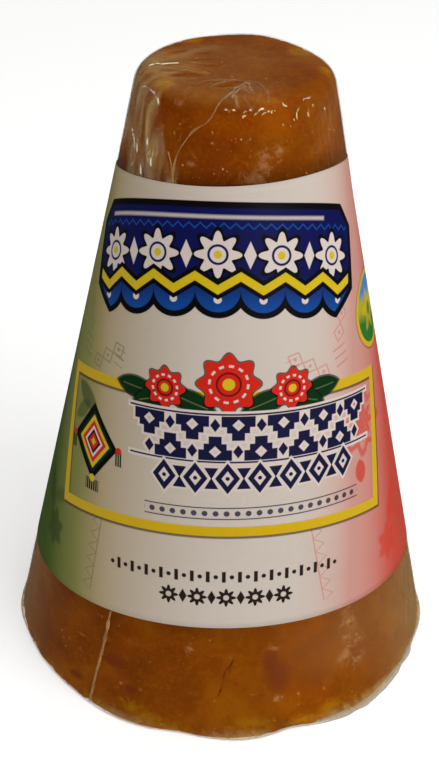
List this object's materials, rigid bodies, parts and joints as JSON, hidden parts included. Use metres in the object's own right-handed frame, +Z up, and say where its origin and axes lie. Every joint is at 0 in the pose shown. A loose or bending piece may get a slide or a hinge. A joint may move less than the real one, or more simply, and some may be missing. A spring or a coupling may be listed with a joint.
{
  "type": "piloncillo sugar cone",
  "caption": "Cast cone of brown cane sugar with a flat top and base, in tight clear film with a paper label band round it.",
  "frame": {"origin": "middle of the flat base, on the surface the cone stands on", "axes": "+Z up along the cone's axis, -Y out of the front of the label, +X to the right of someone who faces the label"},
  "size_m": [0.0664, 0.0668, 0.0936],
  "materials": {
    "brown_sugar": "cast cane sugar, amber brown, mottled, seen through glossy film",
    "clear_film": "thin clear film, creased",
    "label_paper": "satin printed paper"
  },
  "bodies": {
    "root": {"wrapped_cone": "brown_sugar", "paper_label": "label_paper"}
  },
  "joints": []
}
